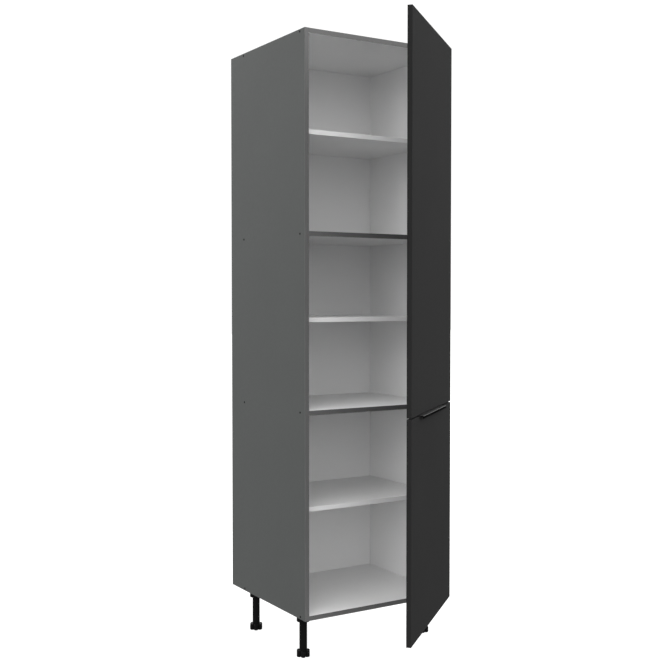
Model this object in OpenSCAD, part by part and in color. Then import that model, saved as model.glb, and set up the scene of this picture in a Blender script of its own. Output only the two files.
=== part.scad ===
// Tall pantry cabinet: dark carcass on adjustable legs, two doors hung on the right,
// two fixed shelves and three loose shelves. +Z is up and the doors face -Y.

/* [Carcass] */
// Outside width of the carcass
carcass_width = 600; // [450:50:600]
// Depth of the side panels
carcass_depth = 550; // [530:10:600]
// Height of the carcass without its legs
carcass_height = 1990; // [1950:10:2100]
// Thickness of every board and of the doors
board = 16; // [16:1:19]
// Depth of the top, bottom and fixed shelves, in front of the back panel
shelf_depth = 480; // [470:5:490]
// Thickness of the back panel
back_thickness = 3; // [3:0.5:4]
// Thickness of the edge bands
band = 0.8; // [0.5:0.1:1]

/* [Shelves] */
// Height of the lower fixed shelf's underside above the carcass base
lower_fixed_z = 697; // [690:1:710]
// Height of the upper fixed shelf's underside above the carcass base
upper_fixed_z = 1300; // [1290:1:1310]
// How far the loose shelves stand back from the front
loose_setback = 50; // [40:5:60]
// Gap left around a loose shelf at its sides and back
loose_gap = 1; // [1:0.5:2]
// Diameter of the pins under the loose shelves
pin_diameter = 5; // [4:0.5:6]

/* [Doors] */
// Angle at which both doors stand open
door_angle = 40.3; // [0:0.1:90]
// Width of both doors
door_width = 597; // [594:1:597]
// Height of the lower door's bottom edge above the carcass base
door_bottom = 2; // [1:0.5:3]
// Height of the lower door
lower_door_height = 713; // [705:1:714]
// Gap between the two doors
door_seam = 4; // [4:0.5:6]
// Gap between the top of the upper door and the carcass top
door_top_gap = 2; // [1:0.5:3]
// Gap between a shut door and the carcass
door_gap = 3; // [3:0.5:4]

/* [Handle] */
// Length of the edge handle
handle_length = 350; // [200:10:360]
// Distance from the door's free edge to the handle
handle_start = 105; // [80:5:110]
// How far the handle's lip stands out from the door
handle_reach = 14; // [12:1:20]
// Height of the handle's lip
handle_lip = 9; // [8:1:14]
// Wall thickness of the handle
handle_wall = 1.8; // [1.5:0.1:2]

/* [Legs] */
// Height of the carcass base above the floor
leg_height = 150; // [140:5:160]
// Distance from the side of the carcass to each leg's centre
leg_inset = 44; // [40:1:60]
// Distance from the front to the front legs' centres
front_leg_y = 89; // [80:1:110]
// Distance from the front to the rear legs' centres
rear_leg_y = 441; // [430:1:445]
// Outer diameter of the leg tubes
leg_diameter = 27; // [25:1:30]
// Outer diameter of the sockets that hold the tubes
socket_diameter = 46; // [44:1:48]
// How far the sockets reach down below the carcass
socket_height = 27.5; // [20:0.5:30]
// Outer diameter of the feet
foot_diameter = 50; // [46:1:52]
// Height of a foot
foot_height = 22; // [20:1:28]

/* [Hidden] */

$fn = 48;
graphite = [0.36, 0.37, 0.37];
light_grey = [0.80, 0.81, 0.81];
anthracite = [0.20, 0.20, 0.20];
black = [0.05, 0.05, 0.05];
steel = [0.72, 0.72, 0.73];
beech = [0.80, 0.66, 0.46];
clear_rubber = [0.85, 0.87, 0.88];
hair = 0.05; // clearance of a fastener in its own hole
cut = 1;     // how far a cutting shape runs past the face that it opens
ease = 0.01; // lets one shape just clear the face of another
drive = 0.7; // width and depth of a screw's hexagon, as a share of its shank and head

// Carcass
half_width = carcass_width / 2;
wall_x = half_width - board;
top_z = carcass_height - board;
fixed_heights = [0, lower_fixed_z, upper_fixed_z, top_z];
groove_depth = 8;
back_clearance = 0.5;
back_end_gap = 2;

// Where the sides are joined to the top, the bottom and the fixed shelves
confirmat_inset = 33;
confirmat_ys = [confirmat_inset, shelf_depth - confirmat_inset];
dowel_offset = 64; // from a screw to the dowel beside it
dowel_ys = [confirmat_ys[0] + dowel_offset, confirmat_ys[1] - dowel_offset];
dowel_diameter = 8;
dowel_length = 30;
dowel_in_side = 12;
back_screw_x = wall_x - 60;
back_screw_xs = [-back_screw_x, 0, back_screw_x];

// Loose shelves: pins sit half way up each compartment, and the shelf lies on them
compartment_mid = [
    (board + lower_fixed_z) / 2,
    (lower_fixed_z + board + upper_fixed_z) / 2,
    (upper_fixed_z + board + top_z) / 2
];
front_pin_y = loose_setback + 37;
pin_spacing = 352;
pin_ys = [front_pin_y, front_pin_y + pin_spacing];
pin_in_side = 10;
pin_out = 8;
pin_chamfer = 0.6;
shelf_rise = pin_diameter / 2 + 0.3; // from the pins' centres to a loose shelf's underside
loose_width = 2 * (wall_x - loose_gap);
loose_back = shelf_depth - loose_gap;

// Doors, drawn shut and then turned about the hinge line
door_half = door_width / 2;
door_back = -door_gap;
door_front = door_back - board;
hinge_outset = 4.7; // from the door's hinge edge out to the hinge line
hinge_ahead = 2;    // from the door's face forward to the hinge line
hinge_x = door_half + hinge_outset;
hinge_y = door_front - hinge_ahead;
lower_door_top = door_bottom + lower_door_height;
upper_door_bottom = lower_door_top + door_seam;
upper_door_top = carcass_height - door_top_gap;
hinge_from_end = 100;
lower_hinge_zs = [door_bottom + hinge_from_end, lower_door_top - hinge_from_end];
upper_hinge_zs = [
    upper_door_bottom + hinge_from_end,
    (upper_door_bottom + upper_door_top) / 2,
    upper_door_top - hinge_from_end
];
hinge_zs = concat(lower_hinge_zs, upper_hinge_zs);
bumper_diameter = 8;
bumper_taper = 2;
bumper_thickness = 1.8;
bumper_inset = 14;

// Concealed hinge
cup_diameter = 35;
cup_depth = 11.5;
cup_wall = 1;
cup_x = door_half - 22;
cup_flange = 1.2;
cup_flange_width = 22;
cup_flange_height = 56;
cup_flange_x = cup_x - 2;
cup_screw_offset = 22.5;
cup_screw_x = cup_x - 5;
link_thickness = 1.5;
link_offset = 7.2;
link_width = 7;
link_root = [cup_x - 4.5, door_back - 5];
link_tip = [cup_x + 2.5, door_back + 11];
plate_y = 37;
plate_screw_offset = 16;
wing_thickness = 1.8;
wing_height = 46;
wing_depth = 13;
block_height = 14;
block_front = 22;
block_back = 62;
block_thickness = 8;
block_x = wall_x - block_thickness;
arm_height = 13;
arm_thickness = 6;
arm_end = block_back - 2;
arm_screw_ys = [28, 52];
arm_screw_proud = 1;
arm_screw_x = block_x - arm_thickness - arm_screw_proud;
// The arm's outline: [into the cabinet from the mounting block, back from the cabinet's front]
arm_outline = [
    [0, arm_end], [0, 9], [2, 2], [3, -9], [7, -9], [7, 3],
    [arm_thickness, 12], [arm_thickness, arm_end - 2], [arm_thickness - 2, arm_end]
];

// Edge handle
handle_x0 = -door_half + handle_start;
handle_x1 = handle_x0 + handle_length;
handle_top = lower_door_top + handle_wall;
handle_flange = 1.5;
handle_flange_height = 22;
handle_screw_count = 3;
handle_screw_z = lower_door_top - 12;
handle_screw_xs = [
    for (i = [0:handle_screw_count - 1])
        handle_x0 + handle_length * (i + 0.5) / handle_screw_count
];

// Wall brackets, behind the back panel
bracket_thickness = 2.5;
bracket_height = 60;
bracket_front = 505;
bracket_reach = 55;
bracket_top = carcass_height - 50;
bracket_hole = 8;
bracket_hole_x = wall_x - 32;
bracket_screw_inset = 15;
bracket_screw_zs = [
    bracket_top - bracket_screw_inset,
    bracket_top - bracket_height + bracket_screw_inset
];
bracket_screw_y = 522;

// Legs
leg_x = half_width - leg_inset;
leg_places = [
    [-leg_x, front_leg_y], [leg_x, front_leg_y],
    [-leg_x, rear_leg_y], [leg_x, rear_leg_y]
];
socket_floor = 2;
socket_flange = 4;
socket_flange_diameter = 66;
socket_chamfer = 1.5;
socket_screw_count = 4;
socket_screw_radius = (socket_flange_diameter + socket_diameter) / 4;
tube_wall = 2.5;
tube_plug = 16;
travel_gap = 0.3;
foot_lobes = 6;
foot_lobe_diameter = 15;
foot_core_diameter = 33;
foot_chamfer = 3;
stem_diameter = 12;
stem_length = 60;

// Countersunk screws: [head diameter, head height, shank diameter, length]
confirmat = [8, 3, 5, 50];
back_screw = [6, 1.5, 3, 15];
plate_screw = [9, wing_thickness, 5, 11];
arm_screw = [6, arm_screw_proud, 4, 11];
cup_screw = [7, cup_flange, 3.5, 13];
handle_screw = [7, handle_flange, 3.5, 14];
bracket_screw = [7, bracket_thickness, 3.5, 14.5];
leg_screw = [7, 2.5, 3.5, 15];

// The frame's origin: on the floor, at the middle of the floor area that the cabinet covers
door_reach = (door_half + hinge_x) * sin(door_angle)
    - (door_front - hinge_y) * cos(door_angle) - hinge_y;
frame_y = (carcass_depth - door_reach) / 2;

// Helpers
module block(low, high) {
    translate(low) cube(high - low);
}

module in_frame() {
    translate([0, -frame_y, leg_height]) children();
}

// Turns a shut door to its open angle
module swung() {
    in_frame()
        translate([hinge_x, hinge_y, 0])
        rotate([0, 0, door_angle])
        translate([-hinge_x, -hinge_y, 0])
        children();
}

// A countersunk screw along -Z, with the top of its head at the origin
module screw(size) {
    head = size[0] / 2;
    head_height = size[1];
    shank = size[2] / 2;
    length = size[3];
    difference() {
        rotate_extrude()
            polygon([
                [0, 0], [head, 0], [shank, -head_height],
                [shank, -length + shank], [0, -length]
            ]);
        translate([0, 0, -head_height * drive])
            cylinder(r = shank * drive, h = head_height, $fn = 6);
    }
}

// The hole that such a screw sits in
module screw_hole(size) {
    head = size[0] / 2 + hair;
    shank = size[2] / 2 + hair;
    depth = size[3] + hair;
    rotate_extrude()
        polygon([
            [0, cut], [head, cut], [head, 0], [shank, -size[1]], [shank, -depth], [0, -depth]
        ]);
}

// Places a child, drawn along -Z, at the outside of the left (-1) or right (1) side
module from_outside(side, y, z) {
    translate([side * half_width, y, z]) rotate([0, side * 90, 0]) children();
}

// Places a child, drawn along -Z, on the inside face of the right side, pointing into it
module into_right_wall(x, y, z) {
    translate([x, y, z]) rotate([0, -90, 0]) children();
}

module confirmat_places() {
    for (side = [-1, 1], z = fixed_heights, y = confirmat_ys)
        from_outside(side, y, z + board / 2) children();
}

module dowel_places() {
    for (side = [-1, 1], z = fixed_heights, y = dowel_ys)
        translate([side * (wall_x + dowel_in_side), y, z + board / 2])
        rotate([0, -side * 90, 0])
        children();
}

module confirmat_holes() {
    confirmat_places() screw_hole(confirmat);
}

module dowel_holes() {
    dowel_places()
        translate([0, 0, -hair])
        cylinder(d = dowel_diameter + 2 * hair, h = dowel_length + 2 * hair);
}

module back_screw_places() {
    for (z = fixed_heights, x = back_screw_xs)
        translate([x, shelf_depth + back_thickness, z + board / 2])
        rotate([-90, 0, 0])
        children();
}

module back_screw_holes() {
    back_screw_places() screw_hole(back_screw);
}

module pin_places(mid) {
    for (side = [-1, 1], y = pin_ys)
        translate([side * (wall_x + pin_in_side), y, mid])
        rotate([0, -side * 90, 0])
        children();
}

module plate_screw_places() {
    for (z = hinge_zs, s = [-1, 1])
        into_right_wall(wall_x - wing_thickness, plate_y, z + s * plate_screw_offset)
        children();
}

module bracket_screw_places() {
    for (side = [-1, 1], z = bracket_screw_zs)
        translate([side * (wall_x - bracket_thickness), bracket_screw_y, z])
        rotate([0, -side * 90, 0])
        children();
}

module leg_screw_places() {
    for (p = leg_places, i = [0:socket_screw_count - 1])
        translate([p[0], p[1], -socket_flange])
        rotate([0, 0, (i + 0.5) * 360 / socket_screw_count])
        translate([socket_screw_radius, 0, 0])
        rotate([180, 0, 0])
        children();
}

// Carcass boards
module side_board(side) {
    difference() {
        block([side < 0 ? -half_width : wall_x, band, 0],
              [side < 0 ? -wall_x : half_width, carcass_depth, carcass_height]);
        translate([side * (wall_x + groove_depth / 2 - cut / 2), shelf_depth + back_thickness / 2,
                   carcass_height / 2])
            cube([groove_depth + cut, back_thickness + 2 * hair, carcass_height + 2 * cut],
                 center = true);
        confirmat_holes();
        dowel_holes();
        for (mid = compartment_mid)
            pin_places(mid)
                translate([0, 0, -hair])
                cylinder(d = pin_diameter + 2 * hair, h = pin_in_side + cut);
        bracket_screw_places() screw_hole(bracket_screw);
        if (side > 0)
            plate_screw_places() screw_hole(plate_screw);
    }
}

module left_side_panel() {
    color(graphite) in_frame() side_board(-1);
}

module right_side_panel() {
    color(graphite) in_frame() side_board(1);
}

module fixed_board(z) {
    difference() {
        block([-wall_x, band, z], [wall_x, shelf_depth, z + board]);
        confirmat_holes();
        dowel_holes();
        back_screw_holes();
        leg_screw_places() screw_hole(leg_screw);
    }
}

module top_panel() {
    color(graphite) in_frame() fixed_board(top_z);
}

module bottom_panel() {
    color(graphite) in_frame() fixed_board(0);
}

module lower_fixed_shelf() {
    color(light_grey) in_frame() fixed_board(lower_fixed_z);
}

module upper_fixed_shelf() {
    color(light_grey) in_frame() fixed_board(upper_fixed_z);
}

module back_panel() {
    back_half = wall_x + groove_depth - back_clearance;
    color(light_grey) in_frame() difference() {
        block([-back_half, shelf_depth, back_end_gap],
              [back_half, shelf_depth + back_thickness, carcass_height - back_end_gap]);
        back_screw_holes();
    }
}

// Edge bands on the front edges
module side_band(side) {
    color(graphite) in_frame()
        block([side < 0 ? -half_width : wall_x, 0, 0],
              [side < 0 ? -wall_x : half_width, band, carcass_height]);
}

module left_side_edge_band() {
    side_band(-1);
}

module right_side_edge_band() {
    side_band(1);
}

module fixed_band(z) {
    color(graphite) in_frame() block([-wall_x, 0, z], [wall_x, band, z + board]);
}

module top_edge_band() {
    fixed_band(top_z);
}

module bottom_edge_band() {
    fixed_band(0);
}

module lower_fixed_edge_band() {
    fixed_band(lower_fixed_z);
}

module upper_fixed_edge_band() {
    fixed_band(upper_fixed_z);
}

// Fasteners of the carcass
module confirmat_screws() {
    color(black) in_frame() confirmat_places() screw(confirmat);
}

module assembly_dowels() {
    color(beech) in_frame() dowel_places() cylinder(d = dowel_diameter, h = dowel_length);
}

module back_panel_screws() {
    color(steel) in_frame() back_screw_places() screw(back_screw);
}

// Pins under the loose shelves
module shelf_pins(mid) {
    color(steel) in_frame() pin_places(mid)
        rotate_extrude()
        polygon([
            [0, 0], [pin_diameter / 2, 0],
            [pin_diameter / 2, pin_in_side + pin_out - pin_chamfer],
            [pin_diameter / 2 - pin_chamfer, pin_in_side + pin_out],
            [0, pin_in_side + pin_out]
        ]);
}

module lower_shelf_pins() {
    shelf_pins(compartment_mid[0]);
}

module middle_shelf_pins() {
    shelf_pins(compartment_mid[1]);
}

module upper_shelf_pins() {
    shelf_pins(compartment_mid[2]);
}

// Loose shelves
module loose_shelf(mid) {
    z = mid + shelf_rise;
    color(light_grey) in_frame()
        block([-loose_width / 2, loose_setback + band, z],
              [loose_width / 2, loose_back, z + board]);
}

module loose_band(mid) {
    z = mid + shelf_rise;
    color(light_grey) in_frame()
        block([-loose_width / 2, loose_setback, z],
              [loose_width / 2, loose_setback + band, z + board]);
}

module lower_shelf() {
    loose_shelf(compartment_mid[0]);
}

module lower_shelf_edge_band() {
    loose_band(compartment_mid[0]);
}

module middle_shelf() {
    loose_shelf(compartment_mid[1]);
}

module middle_shelf_edge_band() {
    loose_band(compartment_mid[1]);
}

module upper_shelf() {
    loose_shelf(compartment_mid[2]);
}

module upper_shelf_edge_band() {
    loose_band(compartment_mid[2]);
}

// Concealed hinges, carcass side: a cross plate on the wall, and the arm clipped on it
module hinge_mounting_plates() {
    color(steel) in_frame() difference() {
        for (z = hinge_zs) {
            block([wall_x - wing_thickness, plate_y - wing_depth / 2, z - wing_height / 2],
                  [wall_x, plate_y + wing_depth / 2, z + wing_height / 2]);
            block([block_x, block_front, z - block_height / 2],
                  [wall_x, block_back, z + block_height / 2]);
        }
        plate_screw_places() screw_hole(plate_screw);
        for (z = hinge_zs, y = arm_screw_ys)
            into_right_wall(arm_screw_x, y, z) screw_hole(arm_screw);
    }
}

module mounting_plate_screws() {
    color(steel) in_frame() plate_screw_places() screw(plate_screw);
}

module hinge_arms() {
    color(steel) in_frame() difference() {
        for (z = hinge_zs)
            translate([block_x, 0, z - arm_height / 2])
            linear_extrude(arm_height)
            polygon([for (p = arm_outline) [-p[0], p[1]]]);
        for (z = hinge_zs, y = arm_screw_ys)
            into_right_wall(arm_screw_x, y, z) screw_hole(arm_screw);
    }
}

module hinge_arm_screws() {
    color(steel) in_frame()
        for (z = hinge_zs, y = arm_screw_ys)
            into_right_wall(arm_screw_x, y, z) screw(arm_screw);
}

// Concealed hinges, door side
module cup_screw_places(zs) {
    for (z = zs, s = [-1, 1])
        translate([cup_screw_x, door_back + cup_flange, z + s * cup_screw_offset])
        rotate([-90, 0, 0])
        children();
}

module cup_places(zs) {
    for (z = zs)
        translate([cup_x, door_back, z]) rotate([-90, 0, 0]) children();
}

module hinge_cups(zs) {
    color(steel) swung() difference() {
        union() {
            cup_places(zs)
                translate([0, 0, -cup_depth])
                cylinder(d = cup_diameter - 2 * hair, h = cup_depth + cup_flange);
            for (z = zs)
                block([cup_flange_x - cup_flange_width / 2, door_back, z - cup_flange_height / 2],
                      [cup_flange_x + cup_flange_width / 2, door_back + cup_flange,
                       z + cup_flange_height / 2]);
        }
        cup_places(zs)
            translate([0, 0, -cup_depth + cup_wall])
            cylinder(d = cup_diameter - 2 * cup_wall, h = cup_depth + cup_flange + cut);
        cup_screw_places(zs) screw_hole(cup_screw);
    }
}

module hinge_links(zs) {
    color(steel) swung()
        for (z = zs, s = [-1, 1])
            translate([0, 0, z + s * (link_offset + link_thickness / 2) - link_thickness / 2])
            linear_extrude(link_thickness)
            link_outline();
}

// A flat link with round ends
module link_outline() {
    reach = link_tip - link_root;
    turn = atan2(reach[1], reach[0]);
    translate(link_root) rotate(turn) union() {
        circle(d = link_width);
        translate([norm(reach), 0]) circle(d = link_width);
        translate([0, -link_width / 2]) square([norm(reach), link_width]);
    }
}

module cup_screws(zs) {
    color(steel) swung() cup_screw_places(zs) screw(cup_screw);
}

// Doors
module door_board(z0, z1, zs) {
    difference() {
        block([-door_half + band, door_front, z0 + band], [door_half - band, door_back, z1 - band]);
        cup_places(zs)
            translate([0, 0, -cup_depth - hair])
            cylinder(d = cup_diameter, h = cup_depth + cut);
        cup_screw_places(zs) screw_hole(cup_screw);
    }
}

module door_bands(z0, z1) {
    color(anthracite) swung() {
        block([-door_half, door_front, z0], [-door_half + band, door_back, z1]);
        block([door_half - band, door_front, z0], [door_half, door_back, z1]);
        block([-door_half + band, door_front, z0], [door_half - band, door_back, z0 + band]);
        block([-door_half + band, door_front, z1 - band], [door_half - band, door_back, z1]);
    }
}

module door_bumpers(z0, z1) {
    color(clear_rubber) swung()
        for (z = [z0 + bumper_inset, z1 - bumper_inset])
            translate([-door_half + bumper_inset, door_back, z])
            rotate([-90, 0, 0])
            cylinder(d1 = bumper_diameter, d2 = bumper_diameter - bumper_taper,
                     h = bumper_thickness);
}

module upper_door_panel() {
    color(anthracite) swung() door_board(upper_door_bottom, upper_door_top, upper_hinge_zs);
}

module upper_door_edge_bands() {
    door_bands(upper_door_bottom, upper_door_top);
}

module upper_hinge_cups() {
    hinge_cups(upper_hinge_zs);
}

module upper_hinge_links() {
    hinge_links(upper_hinge_zs);
}

module upper_cup_screws() {
    cup_screws(upper_hinge_zs);
}

module upper_door_bumpers() {
    door_bumpers(upper_door_bottom, upper_door_top);
}

module lower_door_panel() {
    color(anthracite) swung() difference() {
        door_board(door_bottom, lower_door_top, lower_hinge_zs);
        handle_screw_places() screw_hole(handle_screw);
    }
}

module lower_door_edge_bands() {
    door_bands(door_bottom, lower_door_top);
}

module lower_hinge_cups() {
    hinge_cups(lower_hinge_zs);
}

module lower_hinge_links() {
    hinge_links(lower_hinge_zs);
}

module lower_cup_screws() {
    cup_screws(lower_hinge_zs);
}

module lower_door_bumpers() {
    door_bumpers(door_bottom, lower_door_top);
}

// Edge handle on the lower door: a folded profile over the door's top edge
module handle_screw_places() {
    for (x = handle_screw_xs)
        translate([x, door_back + handle_flange, handle_screw_z]) rotate([-90, 0, 0]) children();
}

module edge_handle() {
    lip_y = door_front - handle_reach;
    color(black) swung() difference() {
        union() {
            block([handle_x0, lip_y, lower_door_top],
                  [handle_x1, door_back + handle_flange, handle_top]);
            block([handle_x0, lip_y, handle_top - handle_lip],
                  [handle_x1, lip_y + handle_wall, handle_top]);
            block([handle_x0, door_back, lower_door_top - handle_flange_height],
                  [handle_x1, door_back + handle_flange, handle_top]);
        }
        handle_screw_places() screw_hole(handle_screw);
    }
}

module handle_screws() {
    color(black) swung() handle_screw_places() screw(handle_screw);
}

// Wall brackets
module wall_bracket(side) {
    z0 = bracket_top - bracket_height;
    mirror([side < 0 ? 1 : 0, 0, 0]) {
        block([wall_x - bracket_thickness, bracket_front, z0], [wall_x, carcass_depth, bracket_top]);
        block([wall_x - bracket_reach, carcass_depth - bracket_thickness, z0],
              [wall_x, carcass_depth, bracket_top]);
    }
}

module wall_brackets() {
    color(steel) in_frame() difference() {
        for (side = [-1, 1]) wall_bracket(side);
        for (side = [-1, 1])
            translate([side * bracket_hole_x, carcass_depth + cut,
                       bracket_top - bracket_height / 2])
            rotate([90, 0, 0])
            cylinder(d = bracket_hole, h = bracket_thickness + 2 * cut);
        bracket_screw_places() screw_hole(bracket_screw);
    }
}

module wall_bracket_screws() {
    color(steel) in_frame() bracket_screw_places() screw(bracket_screw);
}

// Legs
module leg_sockets() {
    bore = leg_diameter / 2 + hair;
    outer = socket_diameter / 2;
    flange = socket_flange_diameter / 2;
    color(black) in_frame() difference() {
        for (p = leg_places)
            translate([p[0], p[1], 0])
            rotate_extrude()
            polygon([
                [0, -socket_floor], [bore, -socket_floor], [bore, -socket_height],
                [outer - socket_chamfer, -socket_height],
                [outer, socket_chamfer - socket_height], [outer, -socket_flange],
                [flange, -socket_flange], [flange, 0], [0, 0]
            ]);
        leg_screw_places() screw_hole(leg_screw);
    }
}

module leg_socket_screws() {
    color(steel) in_frame() leg_screw_places() screw(leg_screw);
}

module leg_tubes() {
    outer = leg_diameter / 2;
    inner = outer - tube_wall;
    nut = stem_diameter / 2 + travel_gap;
    foot_top = -leg_height + foot_height + travel_gap;
    color(black) in_frame()
        for (p = leg_places)
            translate([p[0], p[1], 0])
            rotate_extrude()
            polygon([
                [nut, foot_top], [outer, foot_top], [outer, -socket_floor],
                [inner, -socket_floor], [inner, foot_top + tube_plug], [nut, foot_top + tube_plug]
            ]);
}

// A foot that screws in and out of its tube
module foot(place) {
    lobe_radius = (foot_diameter - foot_lobe_diameter) / 2;
    outer = foot_diameter / 2;
    color(black) translate([place[0], place[1] - frame_y, 0]) union() {
        intersection() {
            linear_extrude(foot_height) union() {
                circle(d = foot_core_diameter);
                for (i = [0:foot_lobes - 1])
                    rotate(i * 360 / foot_lobes)
                    translate([lobe_radius, 0])
                    circle(d = foot_lobe_diameter);
            }
            rotate_extrude()
                polygon([
                    [0, 0], [outer - foot_chamfer, 0], [outer + ease, foot_chamfer],
                    [outer + ease, foot_height - foot_chamfer],
                    [outer - foot_chamfer, foot_height], [0, foot_height]
                ]);
        }
        cylinder(d = stem_diameter, h = foot_height + stem_length);
    }
}

module front_left_foot() {
    foot(leg_places[0]);
}

module front_right_foot() {
    foot(leg_places[1]);
}

module rear_left_foot() {
    foot(leg_places[2]);
}

module rear_right_foot() {
    foot(leg_places[3]);
}

left_side_panel();
right_side_panel();
top_panel();
bottom_panel();
lower_fixed_shelf();
upper_fixed_shelf();
back_panel();
left_side_edge_band();
right_side_edge_band();
top_edge_band();
bottom_edge_band();
lower_fixed_edge_band();
upper_fixed_edge_band();
confirmat_screws();
assembly_dowels();
back_panel_screws();
lower_shelf_pins();
middle_shelf_pins();
upper_shelf_pins();
hinge_mounting_plates();
mounting_plate_screws();
hinge_arms();
hinge_arm_screws();
wall_brackets();
wall_bracket_screws();
leg_sockets();
leg_socket_screws();
leg_tubes();
upper_door_panel();
upper_door_edge_bands();
upper_hinge_cups();
upper_hinge_links();
upper_cup_screws();
upper_door_bumpers();
lower_door_panel();
lower_door_edge_bands();
lower_hinge_cups();
lower_hinge_links();
lower_cup_screws();
lower_door_bumpers();
edge_handle();
handle_screws();
lower_shelf();
lower_shelf_edge_band();
middle_shelf();
middle_shelf_edge_band();
upper_shelf();
upper_shelf_edge_band();
front_left_foot();
front_right_foot();
rear_left_foot();
rear_right_foot();
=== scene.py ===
import math

import bmesh
import bpy
from mathutils import Matrix, Vector


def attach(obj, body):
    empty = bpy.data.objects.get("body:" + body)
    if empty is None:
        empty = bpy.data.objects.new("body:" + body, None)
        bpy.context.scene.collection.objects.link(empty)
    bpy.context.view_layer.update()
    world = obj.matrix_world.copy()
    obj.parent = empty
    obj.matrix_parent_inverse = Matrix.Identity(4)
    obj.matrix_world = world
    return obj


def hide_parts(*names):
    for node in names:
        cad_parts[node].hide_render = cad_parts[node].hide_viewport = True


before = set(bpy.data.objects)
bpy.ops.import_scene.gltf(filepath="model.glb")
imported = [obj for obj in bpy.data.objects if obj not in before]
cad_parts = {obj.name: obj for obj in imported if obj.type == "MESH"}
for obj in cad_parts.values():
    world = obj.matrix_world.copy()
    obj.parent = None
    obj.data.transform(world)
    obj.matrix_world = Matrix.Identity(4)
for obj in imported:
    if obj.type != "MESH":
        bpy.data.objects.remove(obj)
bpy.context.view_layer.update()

# Dimensions in millimetres, as in the CAD source. They are drawn with the doors shut, from the
# middle of the carcass's width, its front plane and its underside.
HALF = 300
DEPTH = 550
HEIGHT = 1990
BOARD = 16
WALL = HALF - BOARD
SHELF_DEPTH = 480
BACK = 3
BACK_PLAY = 0.5
BACK_INSET = 2
BAND = 0.8
CEILING = HEIGHT - BOARD
FIXED = (0, 697, 1300, CEILING)
PIN_HEIGHTS = (356.5, 1006.5, 1645)
PIN_YS = (87, 439)
PIN_RADIUS = 2.5
PIN_HOLE = 10
SHELF_RISE = 2.8
LOOSE_FRONT = 50
LOOSE_GAP = 1
GROOVE = 8
LEG_HEIGHT = 150
LEG_PLACES = {
    "front_left": (-256, 89),
    "front_right": (256, 89),
    "rear_left": (-256, 441),
    "rear_right": (256, 441),
}
FOOT_RADIUS = 25
FOOT_HEIGHT = 22
FOOT_GAP = 0.3
FOOT_LOBES = 6
LOBE_RADIUS = 7.5
FOOT_CORE_RADIUS = 16.5
FOOT_ROUNDING = 4
FOOT_STEPS = 144
SOCKET_RADIUS = 23
SOCKET_DEPTH = 27.5
SOCKET_FLANGE_RADIUS = 33
SOCKET_FLANGE = 4
SOCKET_SCREW_RADIUS = 28
TUBE_RADIUS = 13.5
TUBE_WALL = 2.5
TUBE_TOP = -2
TUBE_PLUG = 16
NUT_RADIUS = 6.3
STEM_RADIUS = 5.2
STEM_TOP = 82
THREAD_RADIUS = 6
THREAD_PITCH = 2
THREAD_TURNS = 28

DOOR_HALF = 298.5
DOOR_BACK = -3
DOOR_FRONT = -19
DOOR_ANGLE = 40.3
HINGE = Vector((303.2, -21, 0))
LOWER_DOOR = (2, 715)
UPPER_DOOR = (719, 1988)
HINGE_ZS = {"lower": (102, 615), "upper": (819, 1353.5, 1888)}
CUP_X = 276.5
CUP_RADIUS = 17.5
CUP_DEPTH = 11.5
CUP_WALL = 1
CUP_RIM = 1.3
CUP_SCREW_X = CUP_X - 5
CUP_SCREW_REACH = 22.5
FLANGE = 1.2
LINK_ROOT = Vector((272, -8))
LINK_TIP = Vector((279, 8))
LINK_RADIUS = 3.5
LINK_HALF = 0.75
LINK_PLACE = 7.95
BUMPER_INSET = 14
BUMPER_RADIUS = 4

# The hinge's mounting plates are a thin wing under a block, each given as width, height,
# corner radius and thickness
WING = (13, 46, 6, 1.8)
WING_Y = 37
BLOCK = (40, 14, 2, 8)
BLOCK_Y = 42
PLATE_SCREW_REACH = 16
ARM_SCREW_YS = (28, 52)
ARM_HALF = 6.5
ARM_RISE = 7
ARM_SLOT = (14, 3.4, 1.6)
ARM_SLOT_Y = 39.5
ARM_SLOT_FLOOR = 6.6

CONFIRMAT_YS = (33, 447)
DOWEL_YS = (97, 383)
DOWEL_RADIUS = 4
DOWEL_HOLE = 12
BACK_SCREW_XS = (-224, 0, 224)

# The edge handle: its two ends, the sheet of its lip, and how far the lip stands out and hangs
HANDLE = (-193.5, 156.5)
HANDLE_SHEET = 1.8
HANDLE_LIP = 14
HANDLE_DROP = 9
HANDLE_FLANGE = 22
HANDLE_FLANGE_SHEET = 1.5
HANDLE_SCREW_XS = (-135.17, -18.5, 98.17)
HANDLE_SCREW_DROP = 12

BRACKET_TOP = HEIGHT - 50
BRACKET_HEIGHT = 60
BRACKET_FRONT = 505
BRACKET_WIDTH = 55
BRACKET_SHEET = 2.5
BRACKET_HOLE_X = 252
BRACKET_HOLE_RADIUS = 4
BRACKET_SCREW_Y = 522
BRACKET_SCREW_DROPS = (15, 45)

# Screws as in the CAD source: head diameter, head height, shank diameter, length
CONFIRMAT = (8, 3, 5, 50)
BACK_SCREW = (6, 1.5, 3, 15)
PLATE_SCREW = (9, 1.8, 5, 11)
ARM_SCREW = (6, 1, 4, 11)
CUP_SCREW = (7, 1.2, 3.5, 13)
HANDLE_SCREW = (7, 1.5, 3.5, 14)
BRACKET_SCREW = (7, 2.5, 3.5, 14.5)
LEG_SCREW = (7, 2.5, 3.5, 15)

# Gap between a hole and what fills it
HAIR = 0.05
# Vertices closer than this are merged, after a cut and in the CAD nodes
SLIVER = 0.003
WELD = 0.01
# A face this close to a board's surface shows its laminate, and any other its raw core
SKIN = 0.3

MM = 0.001
FRAME_Y = 70.676
IN_FRAME = Matrix.Scale(MM, 4) @ Matrix.Translation((0, -FRAME_Y, LEG_HEIGHT))
SWUNG = (
    IN_FRAME
    @ Matrix.Translation(HINGE)
    @ Matrix.Rotation(math.radians(DOOR_ANGLE), 4, "Z")
    @ Matrix.Translation(-HINGE)
)


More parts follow.
